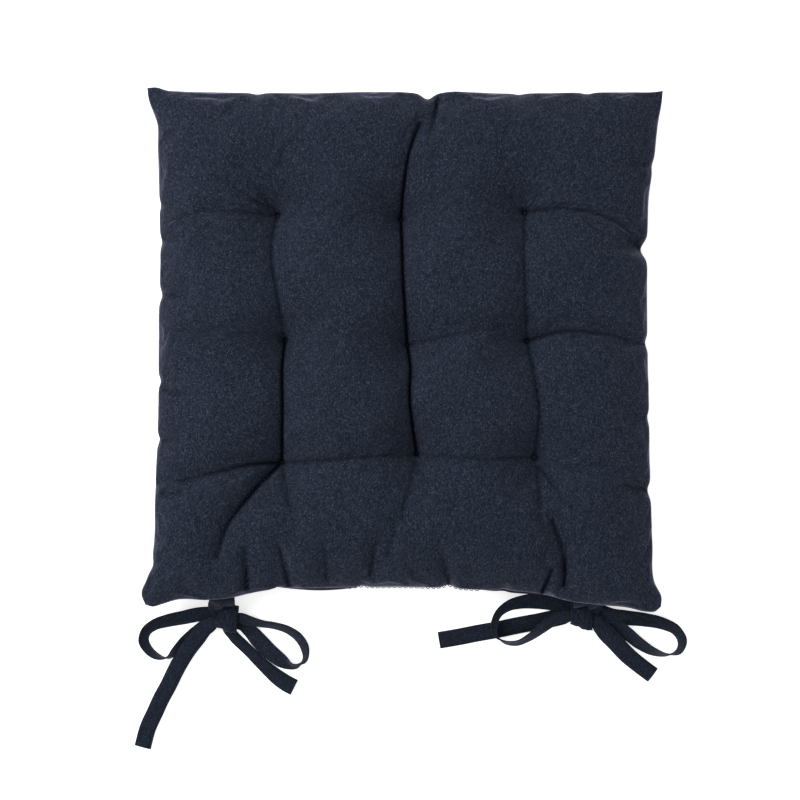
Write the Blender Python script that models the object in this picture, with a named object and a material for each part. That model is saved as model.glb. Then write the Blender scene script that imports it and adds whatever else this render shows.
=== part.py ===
# A tufted square seat cushion with two pairs of tie tapes, each pair tied in a bow.
# Metres, +Z up. The cushion lies flat on z = 0, with its ties towards -Y, at the chair's back.
import math

import bmesh
import bpy
import numpy as np
from mathutils import Matrix, Vector

# Driving sizes of the cushion
pad_width = 0.3965  # corner to corner along X
pad_depth = 0.3965  # corner to corner along Y
side_pull = 0.0115  # how far the left and right edges pull in between the corners
front_pull = 0.0045  # how far the edge at +Y pulls in
tie_edge_pull = 0.0135  # how far the edge with the ties pulls in
seam_height = 0.024  # the sewn edge, above the seat
crown_height = 0.057  # the highest cloth, above the seat
cloth_wall = 0.0009  # one cover panel
seam_gap = 0.0003  # between the two panels where they are sewn together
filling_clearance = 0.0008  # between the filling and the cloth around it
filling_inset = 0.5  # share of the outermost cell of cloth that the filling stays short of
puff_power = 0.3  # lower is a fuller edge
flat_share = 1.25  # how far past flat the underside is pressed onto the seat

# Driving sizes of the tufts
tuft_top_depth = 0.66  # share of the crown that a tuft pulls down
tuft_bottom_depth = 0.45
tuft_reach = 0.030  # radius of the dimple round a tuft
tuft_flat = 0.0058  # half diagonal of the level patch under a stitch
thread_radius = 0.0008  # the bundle of thread through the cushion
stitch_radius = 0.0019  # the stitch that shows on each face
stitch_height = 0.0009
thread_clearance = 0.0004
tuft_places = {  # sewn by hand, so no two rows line up
    "r1c1": (-0.0945, 0.1040),
    "r1c2": (-0.0005, 0.1010),
    "r1c3": (0.0940, 0.1060),
    "r2c1": (-0.0890, 0.0090),
    "r2c2": (0.0045, 0.0050),
    "r2c3": (0.0955, 0.0080),
    "r3c1": (-0.0915, -0.0845),
    "r3c2": (0.0115, -0.0780),
    "r3c3": (0.1015, -0.0810),
}

# Driving sizes of the seam
seam_thread_radius = 0.0003
seam_thread_inset = 0.17  # share of the outermost cell of cloth, inwards from the edge
closing_cells = 6  # how many cells of the tie edge are closed last, after stuffing

# Driving sizes of the ties
tape_width = 0.013
tape_thickness = 0.0015
tape_gathered_width = 0.009  # where a tape leaves its knot
gather_length = 0.010
tape_edge = 0.0005  # the rounding of a folded edge
tape_step = 0.0055  # spacing of the rings along a tape
touch_gap = 0.0003  # between pieces that touch
hem_step = 0.01  # share of the half width over which the hem's slope is taken
stem_gap = 0.0019  # from the seam to a tape that leaves it, clear of the cloth when the bow swings
stem_drop = seam_height / 8  # how far the lower stem starts under the upper one
drawn_tape_width = 0.013  # the width that the routes below are drawn for; a wider tape ties a bigger bow
bow_scale = tape_width / drawn_tape_width
stem_straight = 0.0040  # how far a stem runs straight out of the seam
stem_shape = [  # shares of a stem's way sideways, outwards and down, where it bends onto the knot
    (0.65, 0.72, 0.25),
    (1.0, 0.93, 0.65),
    (1.0, 1.0, 1.0),
]
knot_rounding = 0.0024

# Detail of the cloth
cells = 22  # cells of cloth across the cushion, an even number
edge_crowding = 0.94  # radians of a sine that draws the cells together near the edges
slope_step = 0.0004  # over which the slope of the cloth is taken
place_rounds = 12  # rounds that find the shares of a place
route_samples = 40  # for each point of a route
thread_sides = 10
stitch_taper = 0.7  # share of a stitch's radius at its outer end
folded_angle = 50  # degrees, past which an edge is drawn sharp


def grid_share(index):
    """Place of a grid line, from -1 at one edge to 1 at the other."""
    along = 2 * index / cells - 1
    return math.sin(edge_crowding * along) / math.sin(edge_crowding)


def plan_point(u, v):
    """Place on the seat of the cloth point at shares u and v of the half width and the half depth."""
    edge_pull = front_pull if v > 0 else tie_edge_pull
    x = u * (pad_width / 2 - side_pull * (1 - v * v))
    y = v * (pad_depth / 2 - edge_pull * (1 - u * u))
    return x, y


def dimple(x, y, depth):
    """One on an open pad, down to 1 - depth at a tuft."""
    height = 1.0
    for tuft_x, tuft_y in tuft_places.values():
        distance = math.hypot(x - tuft_x, y - tuft_y)
        height *= 1 - depth * math.exp(-((distance / tuft_reach) ** 2))
    return height


def puff(u, v):
    return (max(0.0, 1 - u * u) * max(0.0, 1 - v * v)) ** puff_power


def share_at(x, y):
    """The shares u and v of a place on the seat."""
    u, v = 2 * x / pad_width, 2 * y / pad_depth
    for _ in range(place_rounds):
        found_x, found_y = plan_point(u, v)
        u += 2 * (x - found_x) / pad_width
        v += 2 * (y - found_y) / pad_depth
    return u, v


def top_height(x, y):
    base = seam_height + seam_gap / 2
    return base + (crown_height - base) * puff(*share_at(x, y)) * dimple(x, y, tuft_top_depth)


def bottom_height(x, y):
    base = seam_height - seam_gap / 2
    pressed = flat_share * puff(*share_at(x, y)) * dimple(x, y, tuft_bottom_depth)
    return max(0.0, base * (1 - pressed))


def grid_places():
    """Plan place of every grid point, with the nearest one moved onto each tuft."""
    places = {}
    for i in range(cells + 1):
        for j in range(cells + 1):
            places[i, j] = plan_point(grid_share(i), grid_share(j))
    for tuft in tuft_places.values():
        nearest = min(places, key=lambda key: math.dist(places[key], tuft))
        places[nearest] = tuft
    return places


def cut_pattern():
    """One panel laid flat, in triangles, with a small level patch round each tuft.

    Each corner's cell is split from the corner inwards, so that no triangle lies along two edges.
    It gives the plan place, the grid key and the tuft of each point, then the triangles and the edges.
    """
    mesh = bmesh.new()
    column = mesh.verts.layers.int.new("column")
    row = mesh.verts.layers.int.new("row")
    verts = {}
    for key, (x, y) in grid_places().items():
        verts[key] = mesh.verts.new((x, y, 0))
        verts[key][column], verts[key][row] = key
    last = cells - 1
    for i in range(cells):
        for j in range(cells):
            a, b, c, d = verts[i, j], verts[i + 1, j], verts[i + 1, j + 1], verts[i, j + 1]
            if (i, j) in ((0, 0), (last, last)):
                mesh.faces.new((a, b, c))
                mesh.faces.new((a, c, d))
            elif (i, j) in ((last, 0), (0, last)):
                mesh.faces.new((a, b, d))
                mesh.faces.new((b, c, d))
            else:
                mesh.faces.new((a, b, c, d))
    tufts = list(tuft_places.values())
    centres = [min(verts.values(), key=lambda vert: math.dist(vert.co.xy, tuft)) for tuft in tufts]
    bmesh.ops.bevel(mesh, geom=centres, offset=tuft_flat, segments=1, affect="VERTICES")
    bmesh.ops.triangulate(mesh, faces=mesh.faces)
    mesh.verts.index_update()
    places, keys, patches = [], [], []
    for vert in mesh.verts:
        places.append((vert.co.x, vert.co.y))
        keys.append((vert[column], vert[row]))
        near = [tuft for tuft in tufts if math.dist(vert.co.xy, tuft) < tuft_flat + touch_gap]
        patches.append(near[0] if near else None)
    triangles = [[vert.index for vert in face.verts] for face in mesh.faces]
    edges = []
    for edge in mesh.edges:
        if edge.is_boundary:
            loop = edge.link_loops[0]
            edges.append((loop.vert.index, loop.link_loop_next.vert.index))
    mesh.free()
    return places, keys, patches, triangles, edges


def edge_direction(key):
    """Horizontal direction out of the cushion at an edge point, or None inside."""
    i, j = key
    out_x = (i == cells) - (i == 0)
    out_y = (j == cells) - (j == 0)
    return Vector((out_x, out_y, 0)) if out_x or out_y else None


def sheet(pattern, height, face, depth, pulled_in=0.0):
    """The pattern's points on one face of the cushion, depth below its outer surface.

    face is 1 above and -1 below. pulled_in moves each edge point that share of its way to the next one.
    """
    places, keys, patches = pattern[:3]
    points = []
    for place, key, patch in zip(places, keys, patches):
        x, y = place
        z = height(*(patch or place))
        out = edge_direction(key)
        if patch:
            points.append(Vector((x, y, z - face * depth)))
        elif out:
            points.append(Vector((x, y, z)) - out * depth)
        else:
            rise_x = height(x + slope_step, y) - height(x - slope_step, y)
            rise_y = height(x, y + slope_step) - height(x, y - slope_step)
            slope_x = rise_x / (2 * slope_step)
            slope_y = rise_y / (2 * slope_step)
            normal = Vector((-slope_x, -slope_y, 1)).normalized() * face
            points.append(Vector((x, y, z)) - normal * depth)
    at_key = {key: points[index] for index, key in enumerate(keys) if not patches[index]}
    for index, (i, j) in enumerate(keys):
        out = edge_direction((i, j))
        if out and pulled_in:
            inner = at_key[i - int(out.x), j - int(out.y)]
            points[index] = points[index].lerp(inner, pulled_in)
    return points


def new_object(name, mesh_data, material, parent=None):
    obj = bpy.data.objects.new(name, mesh_data)
    bpy.context.collection.objects.link(obj)
    obj.data.materials.append(material)
    obj.parent = parent
    return obj


def object_from(mesh, name, material, parent=None):
    if mesh.calc_volume(signed=True) < 0:
        bmesh.ops.reverse_faces(mesh, faces=mesh.faces)
    mesh_data = bpy.data.meshes.new(name)
    mesh.to_mesh(mesh_data)
    mesh.free()
    mesh_data.shade_smooth()
    mesh_data.set_sharp_from_angle(angle=math.radians(folded_angle))
    return new_object(name, mesh_data, material, parent)


def shell(name, pattern, upper, lower, material):
    """A closed solid between two sheets of the same pattern, joined round their edges."""
    triangles, edges = pattern[3:]
    mesh = bmesh.new()
    above = [mesh.verts.new(point) for point in upper]
    below = [mesh.verts.new(point) for point in lower]
    for a, b, c in triangles:
        mesh.faces.new((above[a], above[b], above[c]))
        mesh.faces.new((below[c], below[b], below[a]))
    for a, b in edges:
        mesh.faces.new((above[b], above[a], below[a], below[b]))
    return object_from(mesh, name, material)


def material_named(name, colour, roughness):
    material = bpy.data.materials.new(name)
    material.use_nodes = True
    shader = material.node_tree.nodes["Principled BSDF"]
    shader.inputs["Base Color"].default_value = (*colour, 1)
    shader.inputs["Roughness"].default_value = roughness
    shader.inputs["Metallic"].default_value = 0
    return material


def cover_panels(pattern):
    top_outer = sheet(pattern, top_height, 1, 0)
    top_inner = sheet(pattern, top_height, 1, cloth_wall)
    bottom_outer = sheet(pattern, bottom_height, -1, 0)
    bottom_inner = sheet(pattern, bottom_height, -1, cloth_wall)
    top = shell("top_cover_panel", pattern, top_outer, top_inner, navy_cloth)
    bottom = shell("bottom_cover_panel", pattern, bottom_inner, bottom_outer, navy_cloth)
    return top, bottom


def filling_between_panels(pattern):
    depth = cloth_wall + filling_clearance
    upper = sheet(pattern, top_height, 1, depth, filling_inset)
    lower = sheet(pattern, bottom_height, -1, depth, filling_inset)
    return shell("fibre_filling", pattern, upper, lower, white_fibre)


def lathe(name, profile, place, material):
    """A closed turned solid from (radius, height) pairs, bottom to top."""
    sides = thread_sides
    mesh = bmesh.new()
    rings = []
    for radius, height in profile:
        ring = []
        for k in range(sides):
            angle = 2 * math.pi * k / sides
            ring.append(mesh.verts.new((radius * math.cos(angle), radius * math.sin(angle), height)))
        rings.append(ring)
    for low, high in zip(rings, rings[1:]):
        for k in range(sides):
            mesh.faces.new((low[k], low[(k + 1) % sides], high[(k + 1) % sides], high[k]))
    mesh.faces.new(rings[0][::-1])
    mesh.faces.new(rings[-1])
    obj = object_from(mesh, name, material)
    obj.location = (*place, 0)
    return obj


def tuft_threads():
    """One bundle of thread through the cushion at each tuft, with a stitch on each face."""
    for name, (x, y) in tuft_places.items():
        above = top_height(x, y) + touch_gap
        below = bottom_height(x, y) - touch_gap
        profile = [
            (stitch_radius * stitch_taper, below - stitch_height),
            (stitch_radius, below - stitch_height / 2),
            (stitch_radius, below),
            (thread_radius, below),
            (thread_radius, above),
            (stitch_radius, above),
            (stitch_radius, above + stitch_height / 2),
            (stitch_radius * stitch_taper, above + stitch_height),
        ]
        lathe("tuft_thread_" + name, profile, (x, y), navy_thread)


def needle_holes():
    """The cutter for the holes that the tuft threads pass through."""
    mesh = bmesh.new()
    reach = crown_height + 2 * cloth_wall
    for x, y in tuft_places.values():
        made = bmesh.ops.create_cone(
            mesh,
            cap_ends=True,
            segments=thread_sides,
            radius1=thread_radius + thread_clearance,
            radius2=thread_radius + thread_clearance,
            depth=2 * reach,
        )
        bmesh.ops.translate(mesh, verts=made["verts"], vec=(x, y, reach / 2))
    cutter = object_from(mesh, "needle_holes", navy_thread)
    cutter.hide_render = True
    cutter.display_type = "WIRE"
    return cutter


def pierce(obj, cutter):
    holes = obj.modifiers.new("needle_holes", "BOOLEAN")
    holes.operation = "DIFFERENCE"
    holes.solver = "EXACT"
    holes.object = cutter


def edge_path():
    """Grid points round the cushion's edge, from the tie edge's left corner, anticlockwise from above."""
    path = [(i, 0) for i in range(cells)]
    path += [(cells, j) for j in range(cells)]
    path += [(cells - i, cells) for i in range(cells)]
    path += [(0, cells - j) for j in range(cells)]
    return path


def thread_curve(name, points, radius, material):
    curve = bpy.data.curves.new(name, "CURVE")
    curve.dimensions = "3D"
    curve.bevel_depth = radius
    curve.bevel_resolution = 1
    curve.use_fill_caps = True
    spline = curve.splines.new("POLY")
    spline.points.add(len(points) - 1)
    for spline_point, point in zip(spline.points, points):
        spline_point.co = (*point, 1)
    new_object(name, curve, material)


def seam_threads(pattern):
    """The seam's thread lies just inside the edge, in one run round the cushion and one that closes it."""
    inset = sheet(pattern, lambda x, y: seam_height, 1, 0, seam_thread_inset)
    points = {key: point for key, point in zip(pattern[1], inset) if edge_direction(key)}
    path = edge_path()
    first = (cells - closing_cells) // 2
    last = first + closing_cells
    ring = [points[key] for key in path[last:] + path[: first + 1]]
    gap = Vector((touch_gap / 2, 0, 0))
    ring[0] = ring[0] + gap
    ring[-1] = ring[-1] - gap
    closing = [points[key] for key in path[first : last + 1]]
    closing[0] = closing[0] + gap
    closing[-1] = closing[-1] - gap
    thread_curve("perimeter_seam_thread", ring, seam_thread_radius, navy_thread)
    thread_curve("closing_seam_thread", closing, seam_thread_radius, navy_thread)


def smooth_route(points, spacing):
    """Evenly spaced places on a smooth curve through the points; what follows x, y and z goes along."""
    points = np.array(points, float)
    chords = np.linalg.norm(np.diff(points[:, :3], axis=0), axis=1)
    along = np.concatenate([[0], np.cumsum(chords)])
    slopes = np.gradient(points, along, axis=0)
    fine = np.linspace(0, along[-1], route_samples * len(points))
    index = np.clip(np.searchsorted(along, fine, side="right") - 1, 0, len(points) - 2)
    span = chords[index][:, None]
    t = ((fine - along[index]) / chords[index])[:, None]
    route = (
        (2 * t**3 - 3 * t**2 + 1) * points[index]
        + (t**3 - 2 * t**2 + t) * span * slopes[index]
        + (3 * t**2 - 2 * t**3) * points[index + 1]
        + (t**3 - t**2) * span * slopes[index + 1]
    )
    steps = np.linalg.norm(np.diff(route[:, :3], axis=0), axis=1)
    walked = np.concatenate([[0], np.cumsum(steps)])
    count = max(3, round(walked[-1] / spacing) + 1)
    places = np.linspace(0, walked[-1], count)
    return np.column_stack([np.interp(places, walked, column) for column in route.T]), walked[-1]


def tape(name, route, hinge, gathered_start=True, gathered_end=False):
    """A flat tape along a route of x, y, z in metres and the lean of its face in degrees.

    A lean of 0 lies flat, 90 stands on edge with its face to the left of the way along the route.
    """
    rings, length = smooth_route(route, tape_step)
    tangents = np.gradient(rings[:, :3], axis=0)
    mesh = bmesh.new()
    loops = []
    for number, (ring, tangent) in enumerate(zip(rings, tangents)):
        walked = length * number / (len(rings) - 1)
        gather = 0.0
        if gathered_start:
            gather = math.exp(-((walked / gather_length) ** 2))
        if gathered_end:
            gather = max(gather, math.exp(-(((length - walked) / gather_length) ** 2)))
        half = (tape_width + (tape_gathered_width - tape_width) * gather) / 2
        forward = Vector(tangent).normalized()
        left = Vector((0, 0, 1)).cross(forward).normalized()
        up = forward.cross(left)
        lean = math.radians(ring[3])
        across = left * math.cos(lean) - up * math.sin(lean)
        face = up * math.cos(lean) + left * math.sin(lean)
        outline = [
            (half, 0),
            (half - tape_edge, tape_thickness / 2),
            (tape_edge - half, tape_thickness / 2),
            (-half, 0),
            (tape_edge - half, -tape_thickness / 2),
            (half - tape_edge, -tape_thickness / 2),
        ]
        place = Vector(ring[:3])
        loops.append([mesh.verts.new(place + across * a + face * f) for a, f in outline])
    for first, second in zip(loops, loops[1:]):
        for k in range(len(outline)):
            after = (k + 1) % len(outline)
            mesh.faces.new((first[k], first[after], second[after], second[k]))
    mesh.faces.new(loops[0][::-1])
    mesh.faces.new(loops[-1])
    return object_from(mesh, name, tie_tape, hinge)


def knot(name, centre, size, hinge):
    """The knot's outer shape: a rounded block that stands for the tapes wrapped in it."""
    mesh = bmesh.new()
    bmesh.ops.create_cube(mesh, size=1, matrix=Matrix.Diagonal((*size, 1)))
    obj = object_from(mesh, name, tie_tape, hinge)
    obj.location = centre
    rounding = obj.modifiers.new("rounding", "BEVEL")
    rounding.width = knot_rounding
    rounding.segments = 2
    return obj


def stem_route(hem, x_start, x_end, y_end, knot_top, lower_by):
    """From the seam, straight out and down onto the knot. hem is the edge's slope and outward direction."""
    slope, out = hem
    top = -lower_by
    end = knot_top - seam_height + touch_gap
    drop = top - end
    start = Vector((x_start, x_start * slope, top))
    route = [(*(start + out * stem_gap), 0), (*(start + out * stem_straight), 0)]
    for sideways, outwards, down in stem_shape:
        route.append((x_start + sideways * (x_end - x_start), y_end * outwards, top - down * drop, 0))
    return route


def from_hinge(points):
    """Route points in millimetres, x and y from the hinge and z from the seat, relative to the hinge."""
    route = []
    for x, y, z, lean in points:
        x, y, z = (bow_scale * value / 1000 for value in (x, y, z))
        route.append((x, y, z - seam_height, lean))
    return route


def bow(side, place_x, knot_centre, knot_size, stems, strands):
    """Two tapes tied in a bow. Its empty lies on the axis that the bow swings about, at the seam."""
    u = share_at(place_x, -pad_depth / 2 + tie_edge_pull)[0]
    x, y = plan_point(u, -1)
    hinge = bpy.data.objects.new(side + "_bow_hinge", None)
    bpy.context.collection.objects.link(hinge)
    hinge.location = (x, y, seam_height)
    beside = plan_point(u + hem_step, -1)
    slope = (beside[1] - y) / (beside[0] - x)
    hem = (slope, Vector((slope, -1, 0)).normalized())
    cx, cy, cz = (bow_scale * value / 1000 for value in knot_centre)
    size = [bow_scale * value / 1000 for value in knot_size]
    knot(side + "_bow_knot", (cx, cy, cz - seam_height), size, hinge)
    knot_top = cz + size[2] / 2
    for number, (name, *places) in enumerate(stems):
        x_start, x_end, y_end = (bow_scale * value / 1000 for value in places)
        route = stem_route(hem, x_start, x_end, y_end, knot_top, number * stem_drop)
        tape(f"{side}_{name}_tie_stem", route, hinge, False, True)
    for name, points in strands.items():
        tape(f"{side}_{name}", from_hinge(points), hinge, True, name.endswith("loop"))


# Routes from the hinge, in millimetres and degrees of lean
left_strands = {
    "outer_tie_loop": [
        (-2.4, -10.2, 5.6, 8),
        (-4.4, -10.2, 5.6, 10),
        (-8.0, -10.6, 5.6, 16),
        (-15.3, -11.2, 5.0, 26),
        (-28.2, -13.9, 4.0, 30),
        (-41.2, -16.4, 4.6, 36),
        (-50.8, -19.5, 5.6, 46),
        (-56.9, -24.5, 6.4, 54),
        (-58.7, -31.0, 6.9, 58),
        (-55.0, -38.4, 7.2, 66),
        (-47.6, -43.9, 7.2, 78),
        (-40.7, -45.0, 7.0, 98),
        (-33.8, -39.3, 6.2, 126),
        (-26.4, -31.9, 3.6, 157),
        (-19.0, -25.0, 2.6, 168),
        (-11.6, -20.0, 2.2, 174),
        (-4.4, -17.4, 2.2, 178),
        (-2.4, -17.4, 2.2, 178),
    ],
    "outer_tie_end": [
        (-3.2, -17.2, 8.2, 0),
        (-5.0, -17.4, 8.2, 0),
        (-7.0, -19.0, 8.0, 0),
        (-11.6, -21.8, 7.6, 0),
        (-17.1, -29.2, 7.4, 0),
        (-23.6, -37.5, 8.4, 0),
        (-30.1, -47.6, 8.6, 0),
        (-34.7, -55.9, 5.0, 0),
        (-40.2, -67.0, 1.9, 0),
        (-45.8, -77.2, 1.2, 0),
        (-50.4, -87.3, 1.2, 0),
        (-55.9, -99.3, 1.2, 0),
        (-60.1, -114.6, 1.2, 0),
    ],
    "inner_tie_loop": [
        (15.4, -13.9, 7.6, -18),
        (17.4, -14.0, 7.8, -24),
        (22.0, -15.6, 8.2, -42),
        (31.8, -18.1, 7.4, -58),
        (42.9, -19.9, 6.8, -60),
        (53.0, -23.2, 6.6, -56),
        (61.3, -29.2, 6.4, -52),
        (66.0, -37.5, 6.6, -56),
        (66.0, -45.8, 7.0, -72),
        (58.6, -51.3, 6.4, -112),
        (48.4, -47.6, 4.2, -152),
        (39.2, -40.7, 3.8, -168),
        (30.4, -31.9, 3.6, -174),
        (22.6, -23.6, 2.6, -178),
        (17.6, -19.8, 2.2, -178),
        (15.4, -19.6, 2.2, -178),
    ],
    "inner_tie_end": [
        (8.6, -27.0, 1.4, 0),
        (8.8, -29.0, 1.3, 0),
        (11.4, -32.8, 1.1, 0),
        (16.1, -36.0, 1.1, 0),
        (22.6, -41.4, 1.1, 0),
        (29.9, -48.6, 1.1, 0),
        (38.3, -55.9, 1.1, 0),
        (45.6, -61.5, 1.1, 0),
        (52.1, -65.6, 1.1, 0),
        (57.5, -68.4, 1.1, 0),
    ],
}
right_strands = {
    "inner_tie_loop": [
        (-8.4, -5.6, 5.4, 6),
        (-10.4, -5.4, 5.4, 8),
        (-20.2, -2.6, 5.2, 16),
        (-33.4, -1.2, 5.0, 20),
        (-46.5, -1.8, 5.8, 32),
        (-57.0, -4.6, 7.4, 46),
        (-64.9, -10.9, 9.0, 58),
        (-68.1, -20.1, 9.6, 66),
        (-66.4, -27.9, 9.6, 84),
        (-59.6, -32.5, 9.4, 104),
        (-50.4, -33.2, 8.8, 114),
        (-41.2, -29.2, 8.2, 122),
        (-30.7, -21.7, 8.0, 134),
        (-20.2, -14.5, 7.9, 152),
        (-10.6, -12.2, 8.3, 172),
        (-8.4, -12.2, 8.3, 178),
    ],
    "inner_tie_end": [
        (-8.4, -12.6, 1.8, 0),
        (-10.6, -12.8, 1.8, 0),
        (-20.0, -14.6, 1.5, 0),
        (-33.4, -17.4, 1.1, 0),
        (-49.1, -20.3, 1.1, 0),
        (-64.9, -23.6, 1.1, 0),
        (-80.6, -26.4, 1.1, 0),
        (-96.4, -29.5, 1.1, 0),
        (-110.5, -31.9, 1.1, 0),
    ],
    "outer_tie_loop": [
        (9.0, -6.8, 5.4, -4),
        (11.0, -7.0, 5.6, -8),
        (15.0, -9.2, 6.4, -20),
        (21.7, -12.0, 6.6, -26),
        (33.6, -13.9, 5.4, -26),
        (48.0, -15.5, 4.8, -30),
        (62.4, -18.5, 5.4, -40),
        (72.9, -23.7, 6.2, -52),
        (77.5, -31.9, 6.8, -62),
        (74.9, -39.7, 7.0, -78),
        (66.4, -42.6, 6.8, -102),
        (55.9, -40.4, 6.4, -122),
        (45.4, -34.5, 5.8, -136),
        (34.9, -26.0, 4.6, -150),
        (24.4, -18.2, 3.0, -166),
        (15.0, -12.8, 2.4, -176),
        (10.8, -11.7, 2.2, -178),
        (8.6, -11.6, 2.2, -178),
    ],
    "outer_tie_end": [
        (11.2, -15.2, 8.4, 0),
        (12.8, -16.6, 8.4, 0),
        (13.0, -18.6, 8.2, 0),
        (16.5, -23.3, 7.9, 0),
        (25.7, -32.9, 7.6, -6),
        (34.9, -42.6, 6.0, -8),
        (45.4, -51.4, 3.0, -4),
        (55.2, -58.8, 1.2, 0),
    ],
}


def both_bows():
    left_stems = [("outer", 0.0, 4.5, -11.6), ("inner", 2.0, 6.5, -7.6)]
    right_stems = [("outer", 1.0, 0.5, -9.0), ("inner", -1.5, -1.5, -5.6)]
    bow("left", -0.140, (6.4, -15.0, 5.0), (15.4, 21.6, 9.2), left_stems, left_strands)
    bow("right", 0.139, (-0.2, -10.4, 5.0), (15.4, 18.6, 9.2), right_stems, right_strands)


for old in list(bpy.data.objects):
    bpy.data.objects.remove(old, do_unlink=True)

navy_cloth = material_named("navy_cloth", (0.024, 0.029, 0.045), 0.92)
tie_tape = material_named("tie_tape", (0.022, 0.027, 0.041), 0.9)
navy_thread = material_named("navy_thread", (0.018, 0.022, 0.034), 0.7)
white_fibre = material_named("white_fibre", (0.86, 0.86, 0.84), 0.95)

panel_pattern = cut_pattern()
needles = needle_holes()
for panel in cover_panels(panel_pattern):
    pierce(panel, needles)
pierce(filling_between_panels(panel_pattern), needles)
tuft_threads()
seam_threads(panel_pattern)
both_bows()
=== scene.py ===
import math

import bpy
import bmesh
import numpy as np
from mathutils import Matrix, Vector


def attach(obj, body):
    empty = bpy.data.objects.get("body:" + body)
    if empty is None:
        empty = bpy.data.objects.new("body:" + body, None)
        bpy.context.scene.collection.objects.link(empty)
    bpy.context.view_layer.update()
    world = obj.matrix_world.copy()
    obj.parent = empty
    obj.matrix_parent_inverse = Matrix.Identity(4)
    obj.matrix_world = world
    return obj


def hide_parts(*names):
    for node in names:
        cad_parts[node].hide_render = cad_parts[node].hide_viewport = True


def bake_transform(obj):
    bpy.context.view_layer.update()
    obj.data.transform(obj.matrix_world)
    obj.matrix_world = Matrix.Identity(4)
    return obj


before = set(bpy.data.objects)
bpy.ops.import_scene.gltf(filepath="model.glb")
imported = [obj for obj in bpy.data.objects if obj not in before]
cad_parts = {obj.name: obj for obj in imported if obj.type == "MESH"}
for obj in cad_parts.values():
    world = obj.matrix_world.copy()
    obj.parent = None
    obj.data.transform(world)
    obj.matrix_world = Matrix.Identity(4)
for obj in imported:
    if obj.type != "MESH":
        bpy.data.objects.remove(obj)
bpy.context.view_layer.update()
scene = bpy.context.scene
print("packed cushion loaded:", len(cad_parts), "nodes")


studio = {
    "lookAt": (-0.0011, -0.0370),  # the place straight under the lens
    "cameraHeight": 1.66,
    "viewWidth": 0.6096,  # how much of the floor the view takes in
    "subjectHeight": 0.030,  # the height where the view is that wide
    "floorSize": 6.0,
    "floorColour": (0.93, 0.93, 0.93),
    "floorGlow": 0.62,  # keeps the floor white under the soft shadow
    "skyColour": (1.0, 1.0, 1.0),
    "skyStrength": 0.71,
    "keyPlace": (-1.35, 0.62, 1.40),
    "keySize": 1.3,
    "keyPower": 35.0,
}


def makeCamera(s):
    data = bpy.data.cameras.new("studioCamera")
    data.sensor_width = 36
    data.lens = 36 * (s["cameraHeight"] - s["subjectHeight"]) / s["viewWidth"]
    data.dof.use_dof = False
    camera = bpy.data.objects.new("studioCamera", data)
    camera.location = (*s["lookAt"], s["cameraHeight"])
    scene.collection.objects.link(camera)
    scene.camera = camera


def makeFloor(s):
    bpy.ops.object.select_all(action="DESELECT")
    bpy.ops.mesh.primitive_plane_add(size=s["floorSize"], location=(0, 0, 0))
    floor = bpy.context.object
    floor.name = "studioFloor"
    floorPaint = bpy.data.materials.new("floorPaint")
    floorPaint.use_nodes = True
    shader = floorPaint.node_tree.nodes["Principled BSDF"]
    shader.inputs["Base Color"].default_value = (*s["floorColour"], 1)
    shader.inputs["Roughness"].default_value = 0.9
    shader.inputs["Specular IOR Level"].default_value = 0.1
    shader.inputs["Emission Color"].default_value = (1, 1, 1, 1)
    shader.inputs["Emission Strength"].default_value = s["floorGlow"]
    floor.data.materials.append(floorPaint)


def makeLight(s):
    sky = bpy.data.worlds.new("studioSky")
    sky.use_nodes = True
    background = sky.node_tree.nodes["Background"]
    background.inputs["Color"].default_value = (*s["skyColour"], 1)
    background.inputs["Strength"].default_value = s["skyStrength"]
    scene.world = sky
    data = bpy.data.lights.new("keyLight", "AREA")
    data.size = s["keySize"]
    data.energy = s["keyPower"]
    key = bpy.data.objects.new("keyLight", data)
    key.location = s["keyPlace"]
    key.rotation_euler = (Vector((0, 0, 0)) - key.location).to_track_quat("-Z", "Y").to_euler()
    scene.collection.objects.link(key)
    scene.view_settings.view_transform = "Standard"


makeCamera(studio)
makeFloor(studio)
makeLight(studio)
print("camera, floor and light are up")


navyCloth = {
    "dark": (0.0038, 0.0070, 0.0144),
    "light": (0.0200, 0.0272, 0.0450),
    "fleck": (0.074, 0.087, 0.108),
    "yarn": 0.00072,  # from one thread of the plain weave to the next
    "slub": 2.6,  # how many crossings long a thick place in the yarn is
    "patch": 0.035,  # size of the slow drift in tone
    "warp": 0.42,  # how much of the tone comes from each
    "weft": 0.26,
    "single": 0.32,
    "drift": 0.16,
    "relief": 0.00020,
    "sheen": 0.50,
}


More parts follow.
